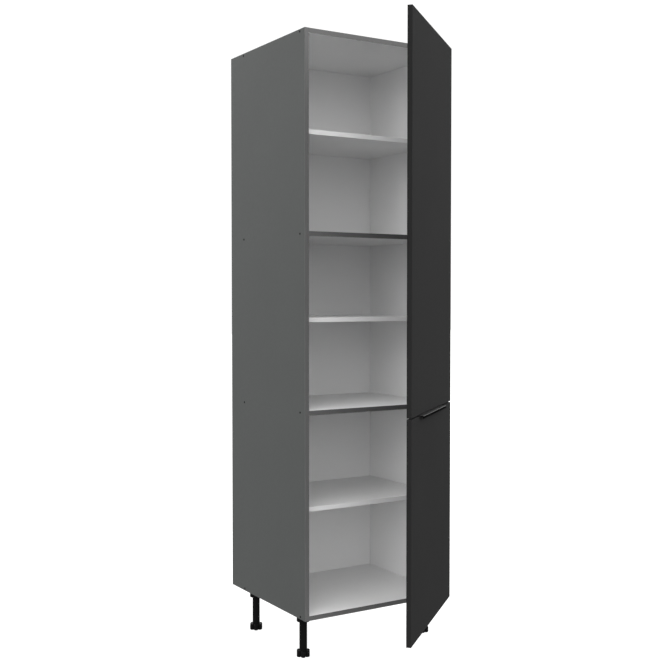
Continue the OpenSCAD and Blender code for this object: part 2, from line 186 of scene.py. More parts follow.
# ---- Camera, light and floor ----

CAMERA_PLACE = (-2.0598, -3.0894, 1.2386)
CAMERA_PITCH = 90 - 1.834
CAMERA_TURN = -31.751
CAMERA_LENS = 56.58
CAMERA_SENSOR = 36

# The dome's strength is a sum of ramps along an axis: (axis, low, high, strength there, and there)
DOME = (
    ("Z", -0.6, 0.0, 0.1, 1.3),
    ("Z", 0.0, 0.35, 0.0, 2.5),
    ("Z", 0.5, 0.9, 0.0, -2.0),
    ("Y", -0.9, 0.0, 0.5, 0.0),
)
BACKDROP = 1.05
FLOOR_TONES = (0.2, 0.21)
FLOOR_GLOW = 0.9
FLOOR_SIZE = 30


def make_camera():
    data = bpy.data.cameras.new("camera")
    data.sensor_width = CAMERA_SENSOR
    data.lens = CAMERA_LENS
    camera = bpy.data.objects.new("camera", data)
    camera.location = CAMERA_PLACE
    camera.rotation_euler = (math.radians(CAMERA_PITCH), 0, math.radians(CAMERA_TURN))
    bpy.context.scene.collection.objects.link(camera)
    bpy.context.scene.camera = camera


def add(tree, kind, inputs=None, **settings):
    """Adds a node. An input is a value, or the socket that feeds it."""
    node = tree.nodes.new(kind)
    for key, value in settings.items():
        setattr(node, key, value)
    for key, value in (inputs or {}).items():
        if isinstance(value, bpy.types.NodeSocket):
            tree.links.new(value, node.inputs[key])
        else:
            node.inputs[key].default_value = value
    return node


def make_world():
    """A white dome, brightest a little above the horizon; the camera sees plain white instead."""
    world = bpy.data.worlds.new("studio")
    world.use_nodes = True
    tree = world.node_tree
    tree.nodes.clear()
    coords = add(tree, "ShaderNodeTexCoord")
    split = add(tree, "ShaderNodeSeparateXYZ", {"Vector": coords.outputs["Generated"]})
    strength = 0.0
    for axis, *ramp in DOME:
        strength = math_node(tree, "ADD", strength, span(tree, split.outputs[axis], *ramp))
    dome = add(tree, "ShaderNodeBackground", {"Color": (1, 1, 1, 1), "Strength": strength})
    paper = add(tree, "ShaderNodeBackground", {"Color": (1, 1, 1, 1), "Strength": BACKDROP})
    path = add(tree, "ShaderNodeLightPath")
    mix = add(tree, "ShaderNodeMixShader", {
        0: path.outputs["Is Camera Ray"],
        1: dome.outputs[0],
        2: paper.outputs[0],
    })
    add(tree, "ShaderNodeOutputWorld", {"Surface": mix.outputs[0]})
    bpy.context.scene.world = world


def make_floor():
    """A pale floor that glows by itself, so the shadow on it stays faint. It lights nothing."""
    material = bpy.data.materials.new("studio_floor")
    material.use_nodes = True
    tree = material.node_tree
    tree.nodes.clear()
    coords = add(tree, "ShaderNodeTexCoord")
    cloud = add(tree, "ShaderNodeTexNoise", {"Vector": coords.outputs["Object"], "Scale": 0.6})
    tone = add(tree, "ShaderNodeMapRange", {
        "Value": cloud.outputs["Fac"],
        "To Min": FLOOR_TONES[0],
        "To Max": FLOOR_TONES[1],
    })
    surface = add(tree, "ShaderNodeBsdfPrincipled", {
        "Base Color": tone.outputs["Result"],
        "Roughness": 0.9,
        "Specular IOR Level": 0.1,
        "Emission Color": (1, 1, 1, 1),
        "Emission Strength": FLOOR_GLOW,
    })
    add(tree, "ShaderNodeOutputMaterial", {"Surface": surface.outputs[0]})
    bm = bmesh.new()
    bmesh.ops.create_grid(bm, x_segments=8, y_segments=8, size=FLOOR_SIZE)
    mesh = bpy.data.meshes.new("floor")
    bm.to_mesh(mesh)
    bm.free()
    mesh.materials.append(material)
    floor = bpy.data.objects.new("floor", mesh)
    floor.visible_diffuse = False
    floor.visible_glossy = False
    bpy.context.scene.collection.objects.link(floor)


# ---- Materials ----

# Noise mostly stays inside this band, which the spans below stretch to the range they need
NOISE_BAND = (0.3, 0.7)
# The dot product of the true normal and a rounded one, on a flat face and on a worn edge
EDGE_DOTS = (0.995, 0.85)
WEAR_PATCH = 9
WEAR_ROUGHNESS = 0.12
BEVEL_SAMPLES = 6

# Sawn chipboard, as linear colours: dark and pale flakes, glue, dust
FLAKE_DARK = (0.2, 0.13, 0.07, 1)
FLAKE_PALE = (0.34, 0.25, 0.155, 1)
GLUE = (0.1, 0.06, 0.03, 1)
DUST = (0.3, 0.24, 0.17, 1)
FLAKE_SCALE = 420
FLAKE_STRETCH = (0.7, 0.7, 1.5)


def math_node(tree, operation, *values, clamp=False):
    """The output of a maths node; each value is a number or another node's output."""
    node = add(tree, "ShaderNodeMath", dict(enumerate(values)), operation=operation)
    node.use_clamp = clamp
    return node.outputs[0]


def noise(tree, coords, size, detail=2.0, roughness=0.5):
    """A noise whose blots are about size millimetres across, from 0 to 1."""
    node = add(tree, "ShaderNodeTexNoise", {
        "Vector": coords,
        "Scale": 1 / (size * MM),
        "Detail": detail,
        "Roughness": roughness,
    })
    return node.outputs["Fac"]


def span(tree, value, low, high, to_low, to_high):
    """Maps low to to_low and high to to_high, and clamps outside them."""
    node = add(tree, "ShaderNodeMapRange", {
        "Value": value,
        "From Min": low,
        "From Max": high,
        "To Min": to_low,
        "To Max": to_high,
    })
    return node.outputs["Result"]


def mix_colour(tree, factor, first, second):
    node = add(tree, "ShaderNodeMix", data_type="RGBA")
    for index, value in ((0, factor), (6, first), (7, second)):
        socket = node.inputs[index]
        if isinstance(value, bpy.types.NodeSocket):
            tree.links.new(value, socket)
        else:
            socket.default_value = value
    return node.outputs[2]


def edge_mask(tree, radius):
    """1 within radius millimetres of an edge, 0 on flat faces."""
    rounded_off = add(tree, "ShaderNodeBevel", {"Radius": radius * MM}, samples=BEVEL_SAMPLES)
    geometry = add(tree, "ShaderNodeNewGeometry")
    match = add(tree, "ShaderNodeVectorMath", {
        0: rounded_off.outputs["Normal"],
        1: geometry.outputs["Normal"],
    }, operation="DOT_PRODUCT")
    return span(tree, match.outputs["Value"], *EDGE_DOTS, 0.0, 1.0)


SHADER_SOCKETS = {
    "specular": "Specular IOR Level",
    "metallic": "Metallic",
    "transmission": "Transmission Weight",
    "ior": "IOR",
}


def finish(name, colour, second=None, *, mottle, grain, rough, bump, wear, stretch=None,
           **constants):
    """A procedural material, of one colour or of two that mix in specks.

    mottle and grain are (size in mm, share by which the colour varies), rough is (middle, spread),
    bump is (size in mm, height in mm), and wear is (edge radius in mm, colour, strength). The
    constants are set straight on the shader's sockets, and specular is its Specular IOR Level.
    """
    material = bpy.data.materials.new(name)
    material.use_nodes = True
    tree = material.node_tree
    tree.nodes.clear()
    coords = add(tree, "ShaderNodeTexCoord").outputs["Object"]
    if stretch is not None:
        coords = add(tree, "ShaderNodeMapping", {"Vector": coords, "Scale": stretch}).outputs[0]
    clouds = noise(tree, coords, mottle[0], 4)
    specks = noise(tree, coords, grain[0], 3, 0.6)
    tone = math_node(
        tree, "MULTIPLY",
        span(tree, clouds, *NOISE_BAND, 1 - mottle[1], 1 + mottle[1]),
        span(tree, specks, *NOISE_BAND, 1 - grain[1], 1 + grain[1]),
    )
    if second is None:
        base = colour
    else:
        base = mix_colour(tree, span(tree, specks, 0.42, 0.62, 0, 1), colour, second)
    scale = add(tree, "ShaderNodeVectorMath", operation="SCALE")
    if isinstance(base, bpy.types.NodeSocket):
        tree.links.new(base, scale.inputs[0])
    else:
        scale.inputs[0].default_value = base[:3]
    tree.links.new(tone, scale.inputs["Scale"])
    shade = scale.outputs[0]
    roughness = span(tree, noise(tree, coords, grain[0] * 6, 3), *NOISE_BAND,
                     rough[0] - rough[1], rough[0] + rough[1])
    edge_radius, worn_colour, wear_strength = wear
    patches = span(tree, noise(tree, coords, WEAR_PATCH, 4, 0.65), 0.45, 0.7, 0, 1)
    worn = math_node(tree, "MULTIPLY", edge_mask(tree, edge_radius), patches)
    worn = math_node(tree, "MULTIPLY", worn, wear_strength, clamp=True)
    shade = mix_colour(tree, worn, shade, worn_colour)
    rougher = math_node(tree, "MULTIPLY", worn, WEAR_ROUGHNESS)
    roughness = math_node(tree, "ADD", roughness, rougher)
    bumps = add(tree, "ShaderNodeBump", {
        "Height": noise(tree, coords, bump[0], 3, 0.55),
        "Strength": 1.0,
        "Distance": bump[1] * MM,
    })
    inputs = {"Base Color": shade, "Roughness": roughness, "Normal": bumps.outputs[0]}
    for key, value in constants.items():
        inputs[SHADER_SOCKETS[key]] = value
    surface = add(tree, "ShaderNodeBsdfPrincipled", inputs)
    add(tree, "ShaderNodeOutputMaterial", {"Surface": surface.outputs[0]})
    return material


def chipboard(name):
    """Sawn chipboard: pale flakes of several tans between darker glue and dust."""
    material = bpy.data.materials.new(name)
    material.use_nodes = True
    tree = material.node_tree
    tree.nodes.clear()
    coords = add(tree, "ShaderNodeTexCoord").outputs["Object"]
    bent = add(tree, "ShaderNodeVectorMath", {
        0: coords,
        1: FLAKE_STRETCH,
    }, operation="MULTIPLY").outputs[0]
    flakes = add(tree, "ShaderNodeTexVoronoi", {"Vector": bent, "Scale": FLAKE_SCALE})
    tint = add(tree, "ShaderNodeSeparateColor", {"Color": flakes.outputs["Color"]})
    tan = mix_colour(tree, tint.outputs[0], FLAKE_DARK, FLAKE_PALE)
    gaps = span(tree, flakes.outputs["Distance"], 0.35, 0.75, 0, 0.6)
    shade = mix_colour(tree, gaps, tan, GLUE)
    dust = span(tree, noise(tree, coords, 14, 4, 0.6), 0.45, 0.75, 0, 0.25)
    shade = mix_colour(tree, dust, shade, DUST)
    bumps = add(tree, "ShaderNodeBump", {
        "Height": math_node(tree, "SUBTRACT", noise(tree, bent, 1.1, 3), gaps),
        "Distance": 0.15 * MM,
    })
    rough = span(tree, noise(tree, coords, 3), *NOISE_BAND, 0.78, 0.92)
    surface = add(tree, "ShaderNodeBsdfPrincipled", {
        "Base Color": shade,
        "Roughness": rough,
        "Normal": bumps.outputs[0],
        "Specular IOR Level": 0.2,
    })
    add(tree, "ShaderNodeOutputMaterial", {"Surface": surface.outputs[0]})
    return material


def make_finishes():
    """Every finish by its short name. The colours are linear."""
    return {
        "graphite": finish(
            "graphite_melamine", (0.0463, 0.0487, 0.0476, 1), mottle=(260, 0.02), grain=(1.1, 0.05),
            rough=(0.55, 0.05), bump=(0.9, 0.02), wear=(0.5, (0.16, 0.16, 0.155, 1), 0.4),
            specular=0.06),
        "graphite_band": finish(
            "graphite_edging", (0.069, 0.069, 0.069, 1), mottle=(180, 0.02), grain=(0.7, 0.03),
            rough=(0.45, 0.05), bump=(0.5, 0.01), wear=(0.5, (0.24, 0.24, 0.23, 1), 0.45),
            specular=0.2),
        "light": finish(
            "light_grey_melamine", (0.75, 0.75, 0.75, 1), mottle=(240, 0.012), grain=(1.1, 0.02),
            rough=(0.55, 0.05), bump=(0.9, 0.02), wear=(0.5, (0.55, 0.54, 0.52, 1), 0.4),
            specular=0.2),
        "light_band": finish(
            "light_grey_edging", (0.575, 0.575, 0.575, 1), mottle=(180, 0.012), grain=(0.7, 0.015),
            rough=(0.42, 0.05), bump=(0.5, 0.01), wear=(0.5, (0.55, 0.54, 0.52, 1), 0.35),
            specular=0.25),
        "door": finish(
            "anthracite_laminate", (0.0136, 0.0136, 0.0136, 1), mottle=(300, 0.03),
            grain=(0.8, 0.05), rough=(0.7, 0.04), bump=(0.6, 0.012),
            wear=(0.5, (0.05, 0.05, 0.05, 1), 0.4), specular=0.005),
        "door_band": finish(
            "anthracite_edging", (0.0122, 0.0122, 0.0122, 1), mottle=(180, 0.03), grain=(0.6, 0.04),
            rough=(0.6, 0.05), bump=(0.5, 0.01), wear=(0.5, (0.04, 0.04, 0.04, 1), 0.4),
            specular=0.005),
        "handle": finish(
            "black_powder_coat", (0.0022, 0.0022, 0.0022, 1), mottle=(60, 0.05), grain=(0.5, 0.1),
            rough=(0.42, 0.06), bump=(0.45, 0.015), wear=(0.3, (0.02, 0.02, 0.02, 1), 0.3),
            specular=0.0),
        # Painted highlight: a lighter black for the handle's upward faces at its top, standing in
        # for the light that falls on them from above
        "handle_top": finish(
            "black_edge_painted_highlight", (0.02, 0.02, 0.02, 1), mottle=(60, 0.05), grain=(0.5, 0.1),
            rough=(0.4, 0.06), bump=(0.45, 0.01), wear=(0.4, (0.035, 0.035, 0.035, 1), 0.35),
            specular=0.02),
        "plastic": finish(
            "black_moulded_plastic", (0.003, 0.003, 0.003, 1), mottle=(30, 0.08), grain=(0.6, 0.1),
            rough=(0.5, 0.07), bump=(0.5, 0.025), wear=(0.5, (0.03, 0.03, 0.03, 1), 0.4),
            specular=0.03),
        "nickel": finish(
            "nickel_plated_steel", (0.3, 0.295, 0.28, 1), mottle=(12, 0.06), grain=(0.4, 0.05),
            rough=(0.3, 0.07), bump=(0.7, 0.006), wear=(0.4, (0.42, 0.41, 0.39, 1), 0.5),
            metallic=1.0),
        "pin_nickel": finish(
            "polished_nickel_pin", (0.8, 0.79, 0.77, 1), mottle=(12, 0.04), grain=(0.4, 0.03),
            rough=(0.35, 0.06), bump=(0.7, 0.004), wear=(0.3, (0.85, 0.84, 0.82, 1), 0.4),
            metallic=1.0),
        "zinc": finish(
            "zinc_plated_steel", (0.2, 0.208, 0.216, 1), (0.25, 0.24, 0.21, 1), mottle=(9, 0.1),
            grain=(3.2, 0.05), rough=(0.4, 0.08), bump=(0.9, 0.01),
            wear=(0.4, (0.3, 0.3, 0.29, 1), 0.5), metallic=1.0),
        "black_steel": finish(
            "black_oxide_steel", (0.002, 0.002, 0.0022, 1), mottle=(5, 0.1), grain=(0.5, 0.1),
            rough=(0.38, 0.08), bump=(0.4, 0.01), wear=(0.3, (0.01, 0.01, 0.01, 1), 0.4),
            specular=0.0),
        "beech": finish(
            "beech_dowel", (0.3, 0.2, 0.11, 1), (0.36, 0.25, 0.15, 1), mottle=(8, 0.08),
            grain=(0.9, 0.06), rough=(0.62, 0.08), bump=(0.5, 0.05), stretch=(0.12, 1, 1),
            wear=(0.4, (0.4, 0.3, 0.19, 1), 0.4), specular=0.3),
        "hardboard": finish(
            "raw_hardboard", (0.12, 0.07, 0.036, 1), (0.16, 0.096, 0.05, 1), mottle=(90, 0.07),
            grain=(0.9, 0.1), rough=(0.7, 0.08), bump=(0.7, 0.05),
            wear=(0.5, (0.2, 0.14, 0.08, 1), 0.5), specular=0.15),
        "rubber": finish(
            "clear_bumper", (0.82, 0.84, 0.85, 1), mottle=(4, 0.03), grain=(0.6, 0.03),
            rough=(0.28, 0.06), bump=(0.8, 0.01), wear=(0.3, (0.9, 0.9, 0.9, 1), 0.3),
            transmission=0.55, ior=1.42),
        "raw": chipboard("sawn_chipboard"),
    }


# ---- Mesh helpers: everything is drawn in millimetres ----

ON_AXIS = 1e-6

# Turns for what is drawn in (x, y) and raised along +Z, so that it is raised along +X, off the
# right side panel towards -X, or off the back of a door towards +Y
ALONG_X = Matrix(((0, 0, 1, 0), (1, 0, 0, 0), (0, 1, 0, 0), (0, 0, 0, 1)))
OFF_WALL = Matrix(((0, 0, -1, 0), (1, 0, 0, 0), (0, -1, 0, 0), (0, 0, 0, 1)))
OFF_DOOR = Matrix(((1, 0, 0, 0), (0, 0, 1, 0), (0, -1, 0, 0), (0, 0, 0, 1)))


def add_box(bm, low, high):
    low, high = Vector(low), Vector(high)
    size = Matrix.Diagonal((*(high - low), 1))
    place = Matrix.Translation((low + high) / 2) @ size
    return bmesh.ops.create_cube(bm, size=1, matrix=place)["verts"]


def bevel(bm, radius, segments, chosen=None, verts=None):
    """Rounds the edges among verts, or all, but only those whose middle the test accepts."""
    own = set(verts if verts is not None else bm.verts)
    edges = [
        e for e in bm.edges
        if e.verts[0] in own and e.verts[1] in own
        and (chosen is None or chosen((e.verts[0].co + e.verts[1].co) / 2))
    ]
    bmesh.ops.bevel(bm, geom=edges, offset=radius, offset_type="OFFSET", segments=segments,
                    profile=0.5, affect="EDGES", clamp_overlap=True)


def box(low, high, radius, segments=2):
    bm = bmesh.new()
    add_box(bm, low, high)
    bevel(bm, radius, segments)
    return bm


def lathe(bm, profile, place=Matrix.Identity(4), segments=48):
    """Turns a profile of (radius, height) points about +Z.

    A profile that starts and ends on the axis is closed by it, and any other by its first point.
    """
    rings = []
    for radius, height in profile:
        if radius < ON_AXIS:
            rings.append([bm.verts.new(place @ Vector((0, 0, height)))])
        else:
            rings.append([
                bm.verts.new(place @ Vector((
                    radius * math.cos(2 * math.pi * i / segments),
                    radius * math.sin(2 * math.pi * i / segments),
                    height,
                )))
                for i in range(segments)
            ])
    closed = profile[0][0] > ON_AXIS and profile[-1][0] > ON_AXIS
    pairs = list(zip(rings, rings[1:])) + ([(rings[-1], rings[0])] if closed else [])
    for first, second in pairs:
        if len(first) == 1 and len(second) == 1:
            continue
        for i in range(segments):
            j = (i + 1) % segments
            if len(first) == 1:
                bm.faces.new((first[0], second[j], second[i]))
            elif len(second) == 1:
                bm.faces.new((first[i], first[j], second[0]))
            else:
                bm.faces.new((first[i], first[j], second[j], second[i]))


def rounded(points, steps=5):
    """The outline through (x, y, corner radius) points."""
    outline = []
    count = len(points)
    for i, (x, y, radius) in enumerate(points):
        here = Vector((x, y))
        if radius == 0:
            outline.append(here)
            continue
        back = (Vector(points[i - 1][:2]) - here).normalized()
        ahead = (Vector(points[(i + 1) % count][:2]) - here).normalized()
        half = back.angle(ahead) / 2
        centre = here + (back + ahead).normalized() * radius / math.sin(half)
        reach = radius / math.tan(half)
        start, end = here + back * reach - centre, here + ahead * reach - centre
        turn = start.angle_signed(end)
        for k in range(steps + 1):
            step = start.copy()
            step.rotate(Matrix.Rotation(-turn * k / steps, 2))
            outline.append(centre + step)
    return outline


def prism(bm, outline, low, high, place=Matrix.Identity(4)):
    """Raises a closed outline from low to high along +Z. Returns its vertices."""
    rings = [[bm.verts.new(place @ Vector((p[0], p[1], h))) for p in outline] for h in (low, high)]
    bm.faces.new(rings[0][::-1])
    bm.faces.new(rings[1])
    for i in range(len(outline)):
        j = (i + 1) % len(outline)
        bm.faces.new((rings[0][i], rings[0][j], rings[1][j], rings[1][i]))
    return rings[0] + rings[1]


def add_shapes(bm, others):
    """Adds copies of the shapes of others to bm, and frees others."""
    mesh = bpy.data.meshes.new("shapes")
    others.to_mesh(mesh)
    others.free()
    bm.from_mesh(mesh)
    bpy.data.meshes.remove(mesh)


def screw_hole(bm, size, place):
    """The countersunk hole of a screw along -Z, whose head is flush at the origin."""
    head, head_height, shank, length = size
    head, shank = head / 2 + HAIR, shank / 2 + HAIR
    lathe(bm, [(0, 1), (head, 1), (head, 0), (shank, -head_height), (shank, -length), (0, -length)],
          place, 24)


def rod(bm, radius, low, high, place):
    lathe(bm, [(0, low), (radius, low), (radius, high), (0, high)], place, 24)


def turned(position, axis, angle):
    return Matrix.Translation(position) @ Matrix.Rotation(math.radians(angle), 4, axis)


def object_of(bm, name):
    bmesh.ops.recalc_face_normals(bm, faces=bm.faces)
    mesh = bpy.data.meshes.new(name)
    bm.to_mesh(mesh)
    bm.free()
    obj = bpy.data.objects.new(name, mesh)
    bpy.context.scene.collection.objects.link(obj)
    return obj


def carve(obj, cutter_bm, operation="DIFFERENCE"):
    """Cuts the shapes of cutter_bm out of obj, or adds them with the operation UNION."""
    cutter = object_of(cutter_bm, obj.name + "_cutter")
    modifier = obj.modifiers.new("holes", "BOOLEAN")
    modifier.operation = operation
    modifier.solver = "EXACT"
    modifier.object = cutter
    graph = bpy.context.evaluated_depsgraph_get()
    mesh = bpy.data.meshes.new_from_object(obj.evaluated_get(graph))
    obj.modifiers.clear()
    obj.data = mesh
    bpy.data.objects.remove(cutter)
    bm = bmesh.new()
    bm.from_mesh(mesh)
    bmesh.ops.remove_doubles(bm, verts=bm.verts, dist=SLIVER)
    bmesh.ops.dissolve_degenerate(bm, edges=bm.edges, dist=SLIVER)
    bm.to_mesh(mesh)
    bm.free()


def combined(bm, other, operation):
    """The two sets of closed shapes as one skin, without faces inside it."""
    obj = object_of(bm, "first")
    carve(obj, other, operation)
    whole = bmesh.new()
    whole.from_mesh(obj.data)
    bpy.data.objects.remove(obj)
    return whole


def piece(name, bm, finishes, body, nodes, place=IN_FRAME, holes=None, paint=None,
          smooth=40):
    """Makes a piece from bm, gives each face the finish that paint chooses, and rides it."""
    obj = object_of(bm, name)
    if holes is not None:
        carve(obj, holes)
    mesh = obj.data
    mesh.materials.clear()
    for material in finishes:
        mesh.materials.append(material)
    for face in mesh.polygons:
        face.material_index = paint(face.center, face.normal) if paint else 0
    mesh.transform(place)
    mesh.name = name
    mesh.shade_smooth()
    mesh.set_sharp_from_angle(angle=math.radians(smooth))
    weighted = obj.modifiers.new("even_shading", "WEIGHTED_NORMAL")
    weighted.keep_sharp = True
    weighted.weight = 100
    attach(obj, body)
    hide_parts(*nodes)
    return obj


def by_direction(**sides):
    """A paint rule from face directions such as x0=1 (towards -X) or z1=2; 0 elsewhere."""
    def paint(_, normal):
        axis = max(range(3), key=lambda i: abs(normal[i]))
        return sides.get("xyz"[axis] + ("1" if normal[axis] > 0 else "0"), 0)
    return paint


# ---- Carcass ----

def side_holes(side):
    """The holes of a side panel for its screws, dowels and shelf pins. Side is -1 or 1."""
    bm = bmesh.new()
    outward = 90 * side
    for z in FIXED:
        for y in CONFIRMAT_YS:
            screw_hole(bm, CONFIRMAT, turned((side * HALF, y, z + BOARD / 2), "Y", outward))
        for y in DOWEL_YS:
            place = turned((side * WALL, y, z + BOARD / 2), "Y", -outward)
            rod(bm, DOWEL_RADIUS + HAIR, -DOWEL_HOLE, 1, place)
    for z in PIN_HEIGHTS:
        for y in PIN_YS:
            place = turned((side * WALL, y, z), "Y", -outward)
            rod(bm, PIN_RADIUS + HAIR, -PIN_HOLE, 1, place)
    return bm


def groove(side):
    """The cut for a side panel's groove: a hair wider than the back panel that runs in it, and
    open towards the inside of the cabinet."""
    bm = bmesh.new()
    inner, outer = sorted((side * (WALL - 1), side * (WALL + GROOVE)))
    add_box(bm, (inner, SHELF_DEPTH - HAIR, -1), (outer, SHELF_DEPTH + BACK + HAIR, HEIGHT + 1))
    return bm


def make_side(name, side, finishes):
    """A side panel with its groove and holes; side is -1 for the left and 1 for the right."""
    low = (-HALF, BAND, 0) if side < 0 else (WALL, BAND, 0)
    high = (-WALL, DEPTH, HEIGHT) if side < 0 else (HALF, DEPTH, HEIGHT)
    inner = {"x1": 1} if side < 0 else {"x0": 1}
    grooved = combined(box(low, high, 0.2), groove(side), "DIFFERENCE")
    by_face = by_direction(y0=2, y1=2, z0=2, z1=2, **inner)

    def paint(centre, normal):
        near_face = abs(centre.x) > HALF - SKIN or abs(centre.x) < WALL + SKIN
        return by_face(centre, normal) if near_face else 2

    piece(name, grooved, [finishes["graphite"], finishes["light"], finishes["raw"]], "carcass",
          [name.replace("_board", "_panel")], holes=side_holes(side), paint=paint)


def make_fixed_board(name, node, z, top, bottom, finishes):
    bm = box((-WALL, BAND, z), (WALL, SHELF_DEPTH, z + BOARD), 0.15)
    holes = bmesh.new()
    for side in (-1, 1):
        for y in CONFIRMAT_YS:
            screw_hole(holes, CONFIRMAT, turned((side * HALF, y, z + BOARD / 2), "Y", 90 * side))
    materials = [finishes["raw"], finishes[top], finishes[bottom]]
    piece(name, bm, materials, "carcass", [node], holes=holes,
          paint=by_direction(z1=1, z0=2))


def make_band(name, node, low, high, finish_name, body, finishes):
    """An edge band whose two long front edges are rounded over."""
    across = 0 if high[2] - low[2] > high[0] - low[0] else 2
    middle = (low[across] + high[across]) / 2
    bm = bmesh.new()
    add_box(bm, low, high)
    bevel(bm, 0.55, 3, lambda m: m.y < low[1] + 0.01 and abs(m[across] - middle) > 1)
    piece(name, bm, [finishes[finish_name]], body, [node])


def make_back(finishes):
    reach = WALL + GROOVE - BACK_PLAY
    bm = box((-reach, SHELF_DEPTH, BACK_INSET),
             (reach, SHELF_DEPTH + BACK, HEIGHT - BACK_INSET), 0.2)
    holes = bmesh.new()
    for z in FIXED:
        for x in BACK_SCREW_XS:
            screw_hole(holes, BACK_SCREW, turned((x, SHELF_DEPTH + BACK, z + BOARD / 2), "X", -90))
    piece("back_board", bm, [finishes["hardboard"], finishes["light"]], "carcass", ["back_panel"],
          holes=holes, paint=by_direction(y0=1))


def make_carcass(finishes):
    make_side("left_side_board", -1, finishes)
    make_side("right_side_board", 1, finishes)
    for name, node, z, top, bottom in (
        ("top_board", "top_panel", FIXED[3], "graphite", "light"),
        ("bottom_board", "bottom_panel", FIXED[0], "light", "graphite"),
    ):
        make_fixed_board(name, node, z, top, bottom, finishes)
    for name, z in (("lower_fixed", FIXED[1]), ("upper_fixed", FIXED[2])):
        make_fixed_board(name + "_board", name + "_shelf", z, "light", "light",
                         finishes)
    make_back(finishes)
    for name, low, high in (
        ("left_side", (-HALF, 0, 0), (-WALL, BAND, HEIGHT)),
        ("right_side", (WALL, 0, 0), (HALF, BAND, HEIGHT)),
        ("bottom", (-WALL, 0, 0), (WALL, BAND, BOARD)),
        ("lower_fixed", (-WALL, 0, FIXED[1]), (WALL, BAND, FIXED[1] + BOARD)),
        ("upper_fixed", (-WALL, 0, FIXED[2]), (WALL, BAND, FIXED[2] + BOARD)),
        ("top", (-WALL, 0, FIXED[3]), (WALL, BAND, HEIGHT)),
    ):
        make_band(name + "_edging", name + "_edge_band", low, high, "graphite_band",
                  "carcass", finishes)


def make_loose_shelves(finishes):
    reach = WALL - LOOSE_GAP
    for name, height in zip(("lower", "middle", "upper"), PIN_HEIGHTS):
        z = height + SHELF_RISE
        body = name + "_loose_shelf"
        bm = box((-reach, LOOSE_FRONT + BAND, z),
                 (reach, SHELF_DEPTH - LOOSE_GAP, z + BOARD), 0.2)
        piece(name + "_loose_board", bm, [finishes["raw"], finishes["light"]], body,
              [name + "_shelf"], paint=by_direction(z0=1, z1=1))
        make_band(name + "_loose_edging", name + "_shelf_edge_band",
                  (-reach, LOOSE_FRONT, z), (reach, LOOSE_FRONT + BAND, z + BOARD),
                  "light_band", body, finishes)


# ---- Doors ----

def hinge_cup_holes(zs):
    bm = bmesh.new()
    for z in zs:
        rod(bm, CUP_RADIUS, -CUP_DEPTH - HAIR, 1, turned((CUP_X, DOOR_BACK, z), "X", -90))
        for s in (-1, 1):
            place = turned((CUP_SCREW_X, DOOR_BACK + FLANGE, z + s * CUP_SCREW_REACH), "X", -90)
            screw_hole(bm, CUP_SCREW, place)
    return bm


def handle_screw_holes():
    bm = bmesh.new()
    for x in HANDLE_SCREW_XS:
        place = (x, DOOR_BACK + HANDLE_FLANGE_SHEET, LOWER_DOOR[1] - HANDLE_SCREW_DROP)
        screw_hole(bm, HANDLE_SCREW, turned(place, "X", -90))
    return bm


def make_door(door, z0, z1, finishes):
    """One door from height z0 to z1: its board, its edging and its two bumpers."""
    body = door + "_door"
    bm = box((-DOOR_HALF + BAND, DOOR_FRONT, z0 + BAND), (DOOR_HALF - BAND, DOOR_BACK, z1 - BAND),
             0.12, 1)
    holes = hinge_cup_holes(HINGE_ZS[door])
    if door == "lower":
        add_shapes(holes, handle_screw_holes())

    def paint(centre, normal):
        near_face = centre.y < DOOR_FRONT + SKIN or centre.y > DOOR_BACK - SKIN
        return 1 if near_face and abs(normal.y) > 0.5 else 0

    piece(door + "_door_board", bm, [finishes["raw"], finishes["door"]], body,
          [door + "_door_panel"], SWUNG, holes, paint)
    bands = bmesh.new()
    for low, high in (
        ((-DOOR_HALF, z0), (-DOOR_HALF + BAND, z1)),
        ((DOOR_HALF - BAND, z0), (DOOR_HALF, z1)),
        ((-DOOR_HALF + BAND, z0), (DOOR_HALF - BAND, z0 + BAND)),
        ((-DOOR_HALF + BAND, z1 - BAND), (DOOR_HALF - BAND, z1)),
    ):
        verts = add_box(bands, (low[0], DOOR_FRONT, low[1]), (high[0], DOOR_BACK, high[1]))
        bevel(bands, 0.5, 3, lambda m: abs(m.y - (DOOR_FRONT + DOOR_BACK) / 2) > BOARD / 2 - 1
              and (abs(m.x) > DOOR_HALF - 0.01 or m.z < z0 + 0.01 or m.z > z1 - 0.01), verts)
    piece(door + "_door_edging", bands, [finishes["door_band"]], body,
          [door + "_door_edge_bands"], SWUNG)
    bumpers = bmesh.new()
    dome = [(BUMPER_RADIUS * math.cos(a), 0.5 + 1.3 * math.sin(a))
            for a in (math.radians(15 * i) for i in range(6))]
    profile = [(0, 0), (BUMPER_RADIUS - 0.1, 0), (BUMPER_RADIUS, 0.2), *dome, (0, 1.8)]
    for z in (z0 + BUMPER_INSET, z1 - BUMPER_INSET):
        lathe(bumpers, profile, turned((-DOOR_HALF + BUMPER_INSET, DOOR_BACK, z), "X", -90), 32)
    piece(door + "_bumper_domes", bumpers, [finishes["rubber"]], body,
          [door + "_door_bumpers"], SWUNG)


